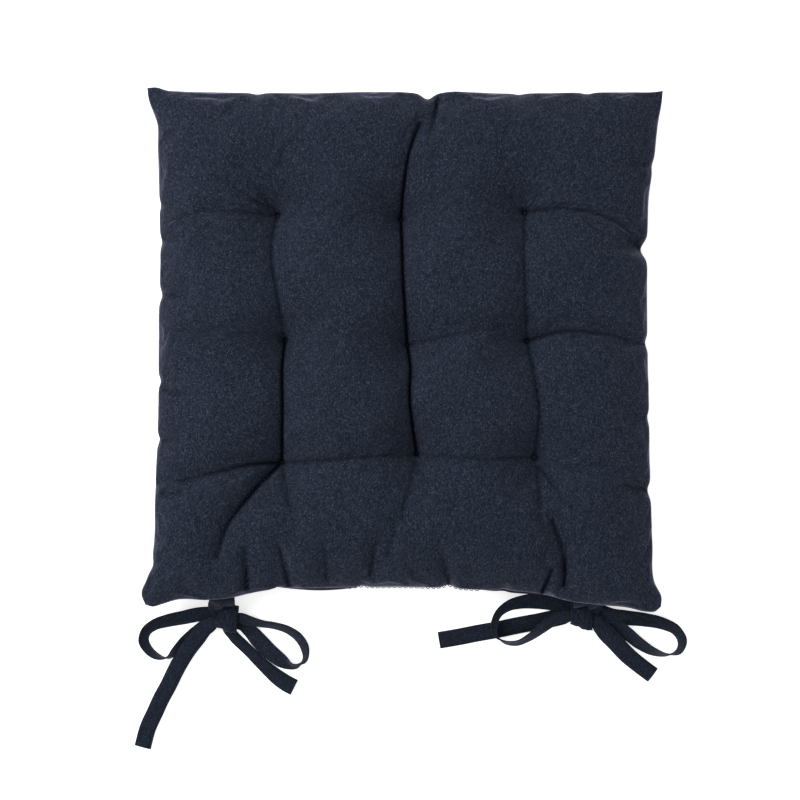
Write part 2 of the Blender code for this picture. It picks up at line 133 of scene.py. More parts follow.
class Nodes:
    # A material's node tree, with short ways to add to it and to wire it up
    def __init__(self, name):
        self.material = bpy.data.materials.new(name)
        self.material.use_nodes = True
        self.tree = self.material.node_tree
        self.shader = self.tree.nodes["Principled BSDF"]

    def add(self, kind, settings=None, **inputs):
        node = self.tree.nodes.new("ShaderNode" + kind)
        for key, value in (settings or {}).items():
            setattr(node, key, value)
        for key, value in inputs.items():
            self.feed(node, key.replace("_", " "), value)
        return node

    def feed(self, node, socket, value):
        target = node.inputs[int(socket)] if socket.isdigit() else node.inputs[socket]
        if isinstance(value, bpy.types.NodeSocket):
            self.tree.links.new(value, target)
        else:
            target.default_value = value

    def maths(self, operation, first, second=0.0, third=0.0):
        node = self.add("Math", {"operation": operation})
        for place, value in enumerate((first, second, third)):
            self.feed(node, str(place), value)
        return node.outputs[0]

    def mixed(self, share, first, second):
        node = self.add("Mix", {"data_type": "RGBA"})
        self.feed(node, "0", share)
        self.feed(node, "6", first)
        self.feed(node, "7", second)
        return node.outputs[2]

    def ramp(self, value, low, high):
        node = self.add("MapRange", {"interpolation_type": "SMOOTHSTEP"})
        for socket, setting in (("Value", value), ("From Min", low), ("From Max", high)):
            self.feed(node, socket, setting)
        return node.outputs[0]

    def relief(self, height, strength, distance):
        bump = self.add("Bump", Height=height, Strength=strength, Distance=distance)
        self.feed(self.shader, "Normal", bump.outputs[0])

    def noise(self, way, scale, detail=2.0, rough=0.55):
        node = self.add("TexNoise")
        self.feed(node, "Vector", way)
        for socket, setting in (("Scale", scale), ("Detail", detail), ("Roughness", rough)):
            self.feed(node, socket, setting)
        return node.outputs["Fac"]

    def chance(self, x, y, z):
        # one random value for each whole x and y
        cell = self.add("CombineXYZ")
        for place, value in enumerate((x, y, z)):
            self.feed(cell, str(place), value)
        node = self.add("TexWhiteNoise", {"noise_dimensions": "3D"})
        self.feed(node, "Vector", cell.outputs[0])
        return node.outputs["Value"]


def wovenCloth(name, c, stitched=False):
    n = Nodes(name)
    way = n.add("UVMap", {"uv_map": "clothWay"}).outputs[0]
    parts = n.add("SeparateXYZ", Vector=way).outputs
    across = n.maths("DIVIDE", parts[0], c["yarn"])
    along = n.maths("DIVIDE", parts[1], c["yarn"])
    crossing = n.maths("MULTIPLY", n.maths("SINE", n.maths("MULTIPLY", across, math.pi)),
                       n.maths("SINE", n.maths("MULTIPLY", along, math.pi)))
    # every thread keeps one tone for the length of a slub, and single crossings stand out as flecks
    warp = n.chance(n.maths("FLOOR", across), n.maths("FLOOR", n.maths("DIVIDE", along, c["slub"])), 0.0)
    weft = n.chance(n.maths("FLOOR", n.maths("DIVIDE", across, c["slub"] * 0.6)), n.maths("FLOOR", along), 5.0)
    single = n.chance(n.maths("FLOOR", across), n.maths("FLOOR", along), 11.0)
    drift = n.noise(way, 1 / c["patch"], 2.0)
    tone = n.maths("MULTIPLY_ADD", warp, c["warp"], n.maths("MULTIPLY", weft, c["weft"]))
    tone = n.maths("MULTIPLY_ADD", single, c["single"], tone)
    tone = n.maths("MULTIPLY_ADD", n.maths("SUBTRACT", drift, 0.5), c["drift"], tone)
    share = n.ramp(tone, 0.12, 0.92)
    ground = n.mixed(share, (*c["dark"], 1), (*c["light"], 1))
    heather = n.maths("MULTIPLY", n.ramp(single, 0.90, 1.0), 0.5)
    colour = n.mixed(heather, ground, (*c["fleck"], 1))
    # painted shade: the colour goes nearly black where the panel marks a sharp fold, a tuft's pinch or the
    # underside strip at the tie edge, and sheen and specular are turned down there too
    paintedShadeFac = n.add("Attribute", {"attribute_name": "paintedShade"}).outputs["Fac"]
    colour = n.mixed(n.maths("MULTIPLY", paintedShadeFac, 0.97), colour, (*(value * 0.1 for value in c["dark"]), 1))
    relief = n.maths("MULTIPLY_ADD", crossing, 0.5, n.maths("MULTIPLY", tone, 0.9))
    if stitched:  # a row of stitches near one folded edge
        beside = n.maths("ABSOLUTE", n.maths("SUBTRACT", parts[0], c["stitchAcross"]))
        line = n.maths("SUBTRACT", 1.0, n.ramp(beside, 0.0002, 0.0006))
        step = n.maths("SINE", n.maths("MULTIPLY", parts[1], 2 * math.pi / c["stitchStep"]))
        dash = n.ramp(step, -0.75, -0.35)
        groove = n.maths("SUBTRACT", 1.0, n.ramp(beside, 0.0003, 0.0012))
        relief = n.maths("MULTIPLY_ADD", groove, -2.2, relief)
        relief = n.maths("MULTIPLY_ADD", n.maths("MULTIPLY", line, dash), 2.4, relief)
        colour = n.mixed(n.maths("MULTIPLY", line, 0.5), colour, (*c["dark"], 1))
    n.relief(relief, 0.75, c["relief"])
    n.feed(n.shader, "Base Color", colour)
    n.feed(n.shader, "Roughness", n.maths("MULTIPLY_ADD", share, 0.10, 0.84))
    lying = n.maths("SUBTRACT", 1.0, paintedShadeFac)
    n.feed(n.shader, "Specular IOR Level", n.maths("MULTIPLY", lying, 0.12))
    n.feed(n.shader, "Sheen Weight", n.maths("MULTIPLY", lying, c["sheen"]))
    n.shader.inputs["Sheen Roughness"].default_value = 0.32
    n.shader.inputs["Sheen Tint"].default_value = (0.62, 0.60, 0.88, 1)
    return n.material


def twistedThread(name, colour, pitch):
    n = Nodes(name)
    place = n.add("TexCoord").outputs["Object"]
    parts = n.add("SeparateXYZ", Vector=place).outputs
    lay = n.maths("ADD", n.maths("ADD", parts[0], parts[1]), parts[2])
    strand = n.maths("SINE", n.maths("MULTIPLY", lay, 2 * math.pi / pitch))
    fuzz = n.noise(place, 900.0)
    share = n.maths("MULTIPLY_ADD", strand, 0.25, fuzz)
    n.feed(n.shader, "Base Color", n.mixed(share, (*colour, 1), (*(value * 2.1 for value in colour), 1)))
    n.relief(strand, 0.6, 0.0001)
    n.feed(n.shader, "Roughness", n.maths("MULTIPLY_ADD", fuzz, 0.2, 0.5))
    return n.material


def looseFibre(name):
    n = Nodes(name)
    place = n.add("TexCoord").outputs["Object"]
    tangle = n.noise(place, 260.0, 5.0, 0.7)
    n.feed(n.shader, "Base Color", n.mixed(tangle, (0.74, 0.74, 0.72, 1), (0.93, 0.93, 0.91, 1)))
    n.relief(tangle, 0.9, 0.0012)
    n.feed(n.shader, "Roughness", n.maths("MULTIPLY_ADD", tangle, 0.1, 0.88))
    return n.material


tapeCloth = dict(
    navyCloth, light=(0.0150, 0.0205, 0.0335), fleck=(0.034, 0.041, 0.054), sheen=0.16, patch=0.02,
    stitchAcross=0.0048, stitchStep=0.0026,
)
coverFabric = wovenCloth("coverFabric", navyCloth)
tieFabric = wovenCloth("tieFabric", tapeCloth, stitched=True)
navyThread = twistedThread("navyThread", (0.0045, 0.0060, 0.0105), 0.0009)
whiteFibre = looseFibre("whiteFibre")
print("cloth, thread and fibre are mixed")


def newPiece(name, verts, faces, material):
    mesh = bpy.data.meshes.new(name)
    mesh.from_pydata([tuple(map(float, v)) for v in verts], [], faces)
    mesh.materials.append(material)
    mesh.update()
    obj = bpy.data.objects.new(name, mesh)
    scene.collection.objects.link(obj)
    mesh.shade_smooth()
    return obj


def layClothWay(obj, ways):
    # ways is one place on the flat cloth for each corner of each face
    layer = obj.data.uv_layers.new(name="clothWay")
    layer.data.foreach_set("uv", np.array(ways, float).ravel())


def applied(obj, kind, **settings):
    bpy.ops.object.select_all(action="DESELECT")
    obj.select_set(True)
    bpy.context.view_layer.objects.active = obj
    modifier = obj.modifiers.new("finish", kind)
    for key, value in settings.items():
        setattr(modifier, key, value)
    bpy.ops.object.modifier_apply(modifier=modifier.name)
    return obj


def faceOutwards(obj):
    shell = bmesh.new()
    shell.from_mesh(obj.data)
    if shell.calc_volume(signed=True) < 0:
        bmesh.ops.reverse_faces(shell, faces=shell.faces)
        shell.to_mesh(obj.data)
    shell.free()


def smoothLine(points, spacing):
    # evenly spaced places on a smooth curve through the points; what follows x, y and z goes along
    points = np.array(points, float)
    chords = np.linalg.norm(np.diff(points[:, :3], axis=0), axis=1)
    along = np.concatenate([[0], np.cumsum(chords)])
    slopes = np.gradient(points, along, axis=0)
    fine = np.linspace(0, along[-1], 30 * len(points))
    index = np.clip(np.searchsorted(along, fine, side="right") - 1, 0, len(points) - 2)
    span = chords[index][:, None]
    t = ((fine - along[index]) / chords[index])[:, None]
    line = (
        (2 * t**3 - 3 * t**2 + 1) * points[index]
        + (t**3 - 2 * t**2 + t) * span * slopes[index]
        + (3 * t**2 - 2 * t**3) * points[index + 1]
        + (t**3 - t**2) * span * slopes[index + 1]
    )
    walked = np.concatenate([[0], np.cumsum(np.linalg.norm(np.diff(line[:, :3], axis=0), axis=1))])
    places = np.linspace(0, walked[-1], max(4, round(walked[-1] / spacing) + 1))
    return np.column_stack([np.interp(places, walked, column) for column in line.T]), walked[-1]


# A way is x and y in millimetres from the bow's place on the seam, z above the floor, then the lean
# of the tape's face in degrees (0 lies flat, 90 stands on edge) and the width that it keeps there.
# A lean of None is inside the knot, where the tape turns over unseen.
ties = {
    "thickness": 0.0012,
    "ringStep": 0.0014,
    "hemLength": 0.0085,
    "hemThickness": 1.75,
    "cup": 0.00035,
    "flatWidth": 0.013,
    "knotSteps": 56,  # round the knot, and from rim to rim
    "knotLines": 25,
    "knotSquare": (0.72, 0.62),  # 1 is round, less is squarer
    "knotFold": 0.00042,
    "knotFineFold": 0.00024,
    "knotRim": 0.0008,
}
leftBow = {
    "place": (-0.14057, -0.19154),
    "knotCentre": (6.6, -13.2, 6.6),
    "knotSize": (18.4, 21.4, 10.4),
    "knotTurn": -13.0,
    "knotTaper": 0.30,  # how much narrower it is at the seam's side
    "knotSlant": -0.12,
    "outer": [
        (-0.6, 3.8, 24.0, 0, 12), (-0.6, 2.0, 23.9, 0, 12), (-0.9, 0.0, 22.4, 0, 12),
        (-1.8, -2.0, 18.0, 0, 12), (-3.2, -5.2, 12.6, -10, 11), (-2.6, -8.2, 9.0, -14, 9),
        (1.8, -10.2, 7.4, None, 8), (6.4, -11.0, 6.8, None, 7), (9.6, -12.6, 6.5, None, 7),
        (10.4, -15.2, 6.3, None, 7), (8.2, -17.0, 6.1, None, 7), (5.0, -15.6, 5.9, None, 7),
        (2.0, -11.8, 5.7, None, 7.5), (-2.4, -10.2, 5.6, 8, 9), (-8.0, -10.6, 5.6, 16, 11.5),
        (-15.3, -11.2, 5.0, 26, 13),
        (-28.2, -13.9, 4.0, 30, 13), (-41.2, -16.4, 4.6, 36, 13), (-50.8, -19.5, 5.6, 46, 13),
        (-56.9, -24.5, 6.4, 54, 13), (-58.7, -31.0, 6.9, 58, 13), (-55.0, -38.4, 7.2, 66, 13),
        (-47.6, -43.9, 7.2, 78, 13), (-40.7, -45.0, 7.0, 98, 13), (-33.8, -39.3, 6.2, 126, 12),
        (-26.4, -31.9, 3.6, 157, 10), (-19.0, -25.0, 2.6, 168, 9), (-11.6, -20.0, 2.2, 174, 9),
        (-4.4, -17.4, 2.2, 178, 8), (1.6, -17.2, 2.4, None, 7), (6.0, -17.0, 3.0, None, 7),
        (8.2, -16.9, 5.0, None, 7), (6.0, -17.0, 7.1, None, 7), (1.6, -17.1, 7.8, None, 8),
        (-3.2, -17.2, 8.2, 0, 9), (-7.0, -19.0, 8.0, 0, 11.5),
        (-11.6, -21.8, 7.6, 0, 13), (-17.1, -29.2, 7.4, 0, 13), (-23.6, -37.5, 8.4, 0, 13),
        (-30.1, -47.6, 8.6, 0, 13), (-34.7, -55.9, 5.0, 0, 13), (-40.2, -67.0, 1.9, 0, 13),
        (-45.8, -77.2, 1.2, 0, 13), (-50.4, -87.3, 1.2, 0, 13), (-55.9, -99.3, 1.2, 0, 13),
        (-60.1, -114.6, 1.2, 0, 13),
    ],
    "inner": [
        (7.0, 4.0, 23.8, 0, 12), (7.0, 2.2, 23.7, 0, 12), (7.1, 0.2, 22.2, 0, 12),
        (7.2, -2.2, 17.0, 0, 11), (7.4, -4.0, 11.0, 0, 10), (7.6, -6.2, 5.6, 0, 9),
        (7.8, -9.4, 1.9, None, 8.5), (8.0, -13.2, 1.1, None, 7.5),
        (8.2, -16.6, 3.2, None, 7), (8.8, -15.9, 5.6, None, 7), (11.0, -14.2, 7.1, None, 8),
        (15.4, -13.9, 7.6, -18, 9), (22.0, -15.6, 8.2, -42, 12),
        (31.8, -18.1, 7.4, -58, 13), (42.9, -19.9, 6.8, -60, 13), (53.0, -23.2, 6.6, -56, 13),
        (61.3, -29.2, 6.4, -52, 13), (66.0, -37.5, 6.6, -56, 13), (66.0, -45.8, 7.0, -72, 13),
        (58.6, -51.3, 6.4, -112, 13), (48.4, -47.6, 4.2, -152, 13), (39.2, -40.7, 3.8, -168, 13),
        (30.4, -31.9, 3.6, -174, 13), (22.6, -23.6, 2.6, -178, 11), (17.6, -19.8, 2.2, -178, 9.5),
        (11.6, -19.2, 2.3, None, 7.5), (8.2, -19.4, 2.7, None, 7), (5.6, -21.2, 2.9, None, 7),
        (6.0, -23.4, 2.0, None, 7.5), (9.0, -26.6, 1.4, 0, 8.5), (12.4, -30.6, 1.1, 0, 9),
        (16.9, -34.8, 1.1, 0, 9), (22.8, -40.4, 1.1, 0, 9), (29.9, -47.6, 1.1, 0, 9.5),
        (38.3, -55.3, 1.1, 0, 11),
        (45.6, -61.3, 1.1, 0, 12.5), (52.1, -65.6, 1.1, 0, 13), (57.5, -68.4, 1.1, 0, 13),
    ],
}
rightBow = {
    "place": (0.13956, -0.19144),
    "knotCentre": (-0.4, -12.0, 6.6),
    "knotSize": (17.0, 20.0, 10.4),
    "knotTurn": 0.0,
    "knotTaper": 0.02,
    "knotSlant": -0.34,
    "inner": [
        (-2.0, 1.2, 23.8, 0, 12), (-2.0, -0.6, 23.6, 0, 12), (-1.9, -2.6, 21.2, 0, 12),
        (-1.7, -4.0, 15.0, 0, 11), (-1.4, -5.0, 9.0, 0, 10), (-1.0, -6.8, 4.6, 0, 9),
        (-0.4, -9.6, 2.2, None, 8), (1.4, -11.8, 2.6, None, 7),
        (2.6, -11.2, 4.2, None, 7), (0.6, -8.2, 5.2, None, 7), (-3.4, -6.0, 5.4, None, 8),
        (-8.4, -5.6, 5.4, 6, 9), (-14.0, -4.4, 5.3, 11, 12),
        (-20.2, -2.6, 5.2, 16, 13.5), (-33.4, -1.2, 5.0, 20, 13.5), (-46.5, -1.8, 5.8, 32, 13),
        (-57.0, -4.6, 7.4, 46, 13), (-64.9, -10.9, 9.0, 58, 13), (-68.1, -20.1, 9.6, 66, 13),
        (-66.4, -27.9, 9.6, 84, 13), (-59.6, -32.5, 9.4, 104, 13), (-50.4, -33.2, 8.8, 114, 13),
        (-41.2, -29.2, 8.2, 122, 13), (-30.7, -21.7, 8.0, 134, 13), (-20.2, -14.5, 7.9, 152, 11),
        (-10.6, -12.2, 8.2, 172, 9), (-4.6, -12.0, 7.8, None, 8), (-0.6, -12.1, 7.2, None, 7),
        (1.4, -12.3, 5.0, None, 7), (-0.6, -12.5, 2.8, None, 7), (-4.6, -12.5, 2.0, None, 8),
        (-8.4, -12.6, 1.8, 0, 9), (-13.0, -13.2, 1.7, 0, 12),
        (-20.0, -14.6, 1.5, 0, 13), (-33.4, -17.4, 1.1, 0, 13), (-49.1, -20.3, 1.1, 0, 13),
        (-64.9, -23.6, 1.1, 0, 13), (-80.6, -26.4, 1.1, 0, 13), (-96.4, -29.5, 1.1, 0, 13),
        (-110.5, -31.9, 1.1, 0, 13),
    ],
    "outer": [
        (8.4, 1.0, 23.6, 0, 12), (8.4, -0.8, 23.5, 0, 12), (8.8, -2.4, 22.0, 0, 12),
        (9.6, -3.6, 17.0, 6, 11), (10.4, -5.4, 12.4, 12, 10), (9.2, -8.0, 9.0, 14, 8.5),
        (5.4, -9.8, 7.4, None, 7), (1.0, -10.0, 6.8, None, 7), (-1.6, -8.6, 6.4, None, 7),
        (-1.0, -6.4, 6.0, None, 7), (3.4, -6.2, 5.6, None, 8), (9.0, -6.8, 5.4, -4, 9),
        (15.0, -9.2, 6.4, -20, 12), (21.7, -12.0, 6.6, -26, 13.5),
        (33.6, -13.9, 5.4, -26, 13.5), (48.0, -15.5, 4.8, -30, 13), (62.4, -18.5, 5.4, -40, 13),
        (72.9, -23.7, 6.2, -52, 13), (77.5, -31.9, 6.8, -62, 13), (74.9, -39.7, 7.0, -78, 13),
        (66.4, -42.6, 6.8, -102, 13), (55.9, -40.4, 6.4, -122, 13), (45.4, -34.5, 5.8, -136, 13),
        (34.9, -26.0, 4.6, -150, 12), (24.4, -18.2, 3.0, -166, 11), (15.0, -12.8, 2.4, -176, 9.5),
        (8.6, -11.6, 2.2, -178, 8), (3.4, -12.0, 2.5, None, 7), (0.0, -13.0, 3.4, None, 7),
        (-1.4, -14.0, 5.4, None, 7), (0.8, -14.8, 7.3, None, 7), (5.4, -15.0, 8.0, None, 7.5),
        (11.2, -15.2, 8.4, 0, 9), (13.0, -18.6, 8.2, 0, 11.5),
        (16.5, -23.3, 7.9, 0, 13), (25.7, -32.9, 7.6, -6, 13.5), (34.9, -42.6, 6.0, -8, 13.5),
        (45.4, -51.4, 3.0, -4, 13), (55.2, -58.8, 1.2, 0, 13),
    ],
}


def acrossAt(forward, lean):
    left = np.cross((0, 0, 1), forward)
    left /= np.linalg.norm(left)
    up = np.cross(forward, left)
    return left * math.cos(math.radians(lean)) - up * math.sin(math.radians(lean))


def tapeRings(way, place):
    # the way in metres, with the direction across the tape blended through the knot
    keys = np.array([(x / 1000 + place[0], y / 1000 + place[1], z / 1000) for x, y, z, _, _ in way])
    ahead = np.gradient(keys, axis=0)
    ahead /= np.linalg.norm(ahead, axis=1)[:, None]
    known = [k for k, point in enumerate(way) if point[3] is not None]
    across = np.array([acrossAt(ahead[k], way[k][3]) for k in known])
    sides = np.column_stack([np.interp(range(len(way)), known, column) for column in across.T])
    widths = np.array([point[4] / 1000 for point in way])
    return smoothLine(np.column_stack([keys, sides, widths]), ties["ringStep"])


def makeTie(name, bow, which, nodes, seed):
    rings, length = tapeRings(bow[which], bow["place"])
    centres, widths = rings[:, :3], rings[:, 6]
    forward = np.gradient(centres, axis=0)
    forward /= np.linalg.norm(forward, axis=1)[:, None]
    sides = rings[:, 3:6]
    sides = sides - forward * np.sum(sides * forward, axis=1)[:, None]
    sides /= np.linalg.norm(sides, axis=1)[:, None]
    faces = np.cross(forward, sides)
    walked = np.linspace(0, length, len(rings))
    hem = length - walked < ties["hemLength"]
    thick = ties["thickness"] * np.where(hem, ties["hemThickness"], 1.0)
    ripple = 0.5 * np.sin(walked * 95 + seed) + 0.5 * np.sin(walked * 173 + 2.1 * seed)
    shares = np.array([-1, -0.93, -0.72, -0.4, 0, 0.4, 0.72, 0.93, 1])
    crown = np.array([0, 0.36, 0.5, 0.5, 0.5, 0.5, 0.5, 0.36, 0])
    outline = list(zip(shares, crown))
    outline += [(share, -lift) for share, lift in outline[-2:0:-1]]
    verts = []
    for k in range(len(rings)):
        cup = ties["cup"] * (1 + ripple[k]) * (0.3 + 0.7 * min(1, walked[k] / 0.03))
        for share, lift in outline:
            arch = (1 - share * share) * cup + 0.12 * cup * math.sin(3.1 * share + ripple[k] * 2)
            verts.append(centres[k] + sides[k] * share * widths[k] / 2 + faces[k] * (lift * thick[k] + arch))
    count = len(outline)
    quads, ways = [], []
    rim = [share * ties["flatWidth"] / 2 for share, _ in outline]
    rim = rim + [rim[0]]
    for k in range(len(rings) - 1):
        for m in range(count):
            after = (m + 1) % count
            quads.append((k * count + m, (k + 1) * count + m, (k + 1) * count + after, k * count + after))
            ways += [(rim[m], walked[k]), (rim[m], walked[k + 1])]
            ways += [(rim[m + 1], walked[k + 1]), (rim[m + 1], walked[k])]
    last = (len(rings) - 1) * count
    quads.append(tuple(range(count)))
    quads.append(tuple(last + m for m in reversed(range(count))))
    ways += [(rim[m], 0) for m in range(count)]
    ways += [(rim[m], length) for m in reversed(range(count))]
    tie = newPiece(name, verts, quads, tieFabric)
    layClothWay(tie, ways)
    faceOutwards(tie)
    tie.data.set_sharp_from_angle(angle=math.radians(60))
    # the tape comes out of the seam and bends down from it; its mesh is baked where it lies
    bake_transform(tie)
    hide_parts(*nodes)
    print(name, "is", round(float(length) * 1000), "mm long")


def makeKnot(name, bow, body, node):
    # one turn of tape round the two ties: up the near side, over the top, down the far side, underneath
    turns, across = ties["knotSteps"], ties["knotLines"]
    centre = np.array([bow["place"][0], bow["place"][1], 0]) + np.array(bow["knotCentre"]) / 1000
    wide, deep, high = (size / 1000 for size in bow["knotSize"])
    wall = ties["thickness"]
    lean = math.radians(bow["knotTurn"])
    verts, ways = [], []
    perimeter = math.pi * (deep + high) / 2

    def skin(inset):
        rows = []
        for k in range(turns):
            angle = 2 * math.pi * k / turns
            c, s = math.cos(angle), math.sin(angle)
            y = (deep / 2 - inset) * math.copysign(abs(c) ** ties["knotSquare"][0], c)
            z = (high / 2 - inset) * math.copysign(abs(s) ** ties["knotSquare"][1], s)
            pinch = 1 - 0.04 * abs(s) - bow["knotTaper"] * 0.5 * (1 + c)
            for m in range(across):
                share = 2 * m / (across - 1) - 1
                fold = ties["knotFold"] * math.sin(5.2 * share + 0.9 + 0.35 * c)
                fold += ties["knotFineFold"] * math.sin(11 * share - 1.3 * c)
                rim = -ties["knotRim"] * abs(share) ** 5
                grow = (fold + rim) if inset == 0 else rim
                x = share * wide / 2 * pinch
                drop = bow["knotSlant"] * x * 0.5 * (1 - c)
                rows.append((x, y + grow * c + drop, z + grow * s))
        return rows

    outer, inner = skin(0), skin(wall)
    for x, y, z in outer + inner:
        verts.append((
            centre[0] + x * math.cos(lean) - y * math.sin(lean),
            centre[1] + x * math.sin(lean) + y * math.cos(lean),
            centre[2] + z,
        ))
    quads = []
    under = turns * across

    def flat(m, k):
        return (2 * m / (across - 1) - 1) * ties["flatWidth"] / 2, perimeter * k / turns

    for k in range(turns):
        after = (k + 1) % turns
        for m in range(across - 1):
            quads.append((k * across + m, k * across + m + 1, after * across + m + 1, after * across + m))
            ways += [flat(m, k), flat(m + 1, k), flat(m + 1, k + 1), flat(m, k + 1)]
            inside = (after * across + m, after * across + m + 1, k * across + m + 1, k * across + m)
            quads.append(tuple(under + v for v in inside))
            ways += [flat(m, k + 1), flat(m + 1, k + 1), flat(m + 1, k), flat(m, k)]
        for m, way in ((0, 1), (across - 1, -1)):
            rimFace = (k * across + m, after * across + m, under + after * across + m, under + k * across + m)
            quads.append(rimFace[::way])
            ways += [flat(m, k), flat(m, k + 1), flat(m, k + 1), flat(m, k)][::way]
    knot = newPiece(name, verts, quads, tieFabric)
    layClothWay(knot, ways)
    faceOutwards(knot)
    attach(knot, body)
    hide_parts(node)
    return knot


for side, bow, seeds in (("left", leftBow, (0.4, 2.2)), ("right", rightBow, (4.1, 1.3))):
    body = side + "_bow"
    knot = makeKnot(side + "BowKnot", bow, body, side + "_bow_knot")
    for which, seed in zip(("outer", "inner"), seeds):
        nodes = [f"{side}_{which}_tie_{part}" for part in ("stem", "loop", "end")]
        makeTie(f"{side}{which.title()}Tie", bow, which, nodes, seed)
print("both bows are tied")


# Everything here is in metres on the floor, with the ties' edge towards -Y.
pad = {
    "cells": 200,
    "edgeCrowding": 2.2,  # how many more cells there are at the sewn edge, and along the tufts
    "tuftCrowding": 1.7,
    "crowdedReach": 0.03,
    "columnShares": (-0.500, 0.015, 0.515),  # which lines of the grid the tufts' columns and rows take
    "rowShares": (-0.468, 0.003, 0.516),
    "seamHeight": 0.024,
    "crown": 0.0545,
    "fullness": 0.30,  # lower is a fuller edge
    "pressed": 1.25,  # how far past flat the underside is pressed
    "tuftTop": 0.56,
    "tuftBottom": 0.45,
    "tuftReach": 0.024,
    "pinchDepth": 0.0042,
    "pinchReach": 0.0038,
    "valleyShare": 0.78,
    "foldShare": 1.75,
    # how far the painted shade reaches to either side of a sharp fold
    "paintedFoldShadeReach": 0.0017,
    "underReach": 0.0042,  # how far the underside shows past the seam at the ties
    "underMiddle": -0.060,  # where along that edge it shows most, how fast it comes and goes, and where it ends
    "underWave": 0.024,
    "underEnds": 0.122,
    "underDepth": 0.014,
    "clothGap": 0.0002,
    "cutSide": 0.42,
    "clothWall": 0.0008,
}

def inMetres(lengths):
    # the same lists with every length, written in millimetres, turned into metres
    if isinstance(lengths, dict):
        return {key: inMetres(value) for key, value in lengths.items()}
    if isinstance(lengths, (list, tuple)):
        return type(lengths)(inMetres(value) for value in lengths)
    return lengths / 1000


tuftPlaces = inMetres({
    "r1c1": (-94.5, 104), "r1c2": (-0.5, 101), "r1c3": (94, 106),
    "r2c1": (-89, 9), "r2c2": (4.5, 5), "r2c3": (95.5, 8),
    "r3c1": (-91.5, -84.5), "r3c2": (11.5, -78), "r3c3": (101.5, -81),
})
sewnEdge = inMetres({  # the seam's way round, corner to corner
    "far": [(-194.5, 201.8), (-187, 202.2), (-180, 200), (-170, 199.2), (-142, 198.4), (-77, 197.8),
            (12, 197.2), (20, 196.2), (28, 197.5), (83, 197.5), (135, 198.2), (178, 198.5), (191, 198.5),
            (200, 199.5)],
    "right": [(200, 199.5), (199.2, 191), (196.5, 176), (193, 144), (189.3, 119),
              (188.3, 92), (188, 24), (189, -37), (190, -90), (192, -147),
              (193.8, -177), (199, -188), (198.5, -195)],
    "near": [(-196, -193.5), (-190.5, -195.2), (-184, -193.5), (-172, -189.8), (-148, -190),
            (-131, -188.5), (-116, -185),
             (-95, -181.5), (-65, -181), (7, -180), (56, -182), (112, -186.5),
             (129, -191), (148, -193.5), (174, -196), (187, -199), (194, -198.8),
             (198.5, -195)],
    "left": [(-194.5, 201.8), (-193.5, 193), (-190, 182), (-187.2, 174), (-186.3, 154), (-185.2, 112),
            (-184.5, 64),
             (-185.5, 31), (-186.2, -52), (-188.5, -112), (-190.5, -155), (-195, -174),
             (-199, -185), (-196, -193.5)],
})
puckers = inMetres([  # where the seam gathers: place, how deep, how wide, and how far in the cloth is drawn
    (20, 195, 3.2, 5, 20), (188.5, 78, 5.2, 6.5, 26),
    (188.5, 6, 2, 5, 16), (190.5, -106, 2.2, 5.5, 18),
    (36, -181, 2.6, 5, 16), (-192, -163, 2, 6, 16),
    (-187, -67, 1.8, 4.5, 14), (-186.5, -23, 1.8, 4.5, 14),
    (-186, 43, 2.2, 5, 16), (-185, 84, 1.5, 4.5, 12),
    (-185.5, 112, 1.2, 4.5, 12), (-189.5, 179, 1.5, 5, 12),
    (-95, -182, 1.4, 4.5, 14), (-30, -181, 1.2, 4.5, 12),
    (78, -184, 1.4, 4.5, 12), (193, 142, 1.2, 5, 12),
    (190, -50, 1.2, 4.5, 12), (-110, 195, 1.2, 5, 12),
    (90, 195, 1, 5, 12), (142, 197, 1.2, 5, 12),
])
valleys = inMetres([  # broad hollows: their way, the depth where they start and end, and their half width
    ([(-94, 104), (-97, 70), (-94, 39), (-89, 9)], 5.5, 6, 16),
    ([(-89, 9), (-90, -37), (-91, -85)], 8, 8, 15),
    ([(6, 150), (1, 115), (0, 101)], 1.5, 6, 18),
    ([(0, 101), (1, 62), (4.5, 5)], 8, 8, 15),
    ([(4.5, 5), (7, -33), (11.5, -78)], 8.5, 8.5, 15),
    ([(94, 106), (93, 77), (95.5, 8)], 6, 6.5, 16),
    ([(95.5, 8), (101, -14), (104, -45), (101.5, -81)], 6.5, 7, 15),
    ([(-94.5, 104), (-48, 106), (-0.5, 101)], 3, 3, 17),
    ([(-0.5, 101), (45, 107), (94, 106)], 3.2, 3.2, 17),
    ([(94, 106), (130, 106), (160, 100), (184, 82)], 3.6, 2, 14),
    ([(-89, 9), (-45, 9), (4.5, 5)], 4.2, 4.2, 16),
    ([(4.5, 5), (50, 14), (95.5, 8)], 4.8, 4.8, 15),
    ([(95.5, 8), (125, 14), (184, 7)], 6.5, 2, 13),
    ([(-89, 9), (-130, 13), (-180, 12)], 4.5, 1, 15),
    ([(-91.5, -84.5), (-134, -90), (-172, -98)], 7.5, 1.5, 14),
    ([(-91.5, -84.5), (-40, -82), (11.5, -78)], 5.8, 5.8, 15),
    ([(11.5, -78), (55, -81), (101.5, -81)], 5.2, 5.2, 15),
    ([(-91.5, -84.5), (-115, -109), (-134, -136), (-141, -160)], 9, 3, 13),
    ([(101.5, -81), (106, -110), (116, -135), (125, -165)], 6, 4, 14),
    ([(-94.5, 104), (-94, 140), (-88, 175)], 2.5, 0, 18),
    ([(94, 106), (104, 140), (120, 176)], 2.5, 0, 18),
    ([(-94.5, 104), (-135, 104), (-176, 98)], 1.6, 0, 16),
    ([(101.5, -81), (140, -90), (182, -104)], 4.5, 1.5, 15),
    ([(11.5, -78), (8, -110), (0, -150)], 3.5, 0, 18),
])
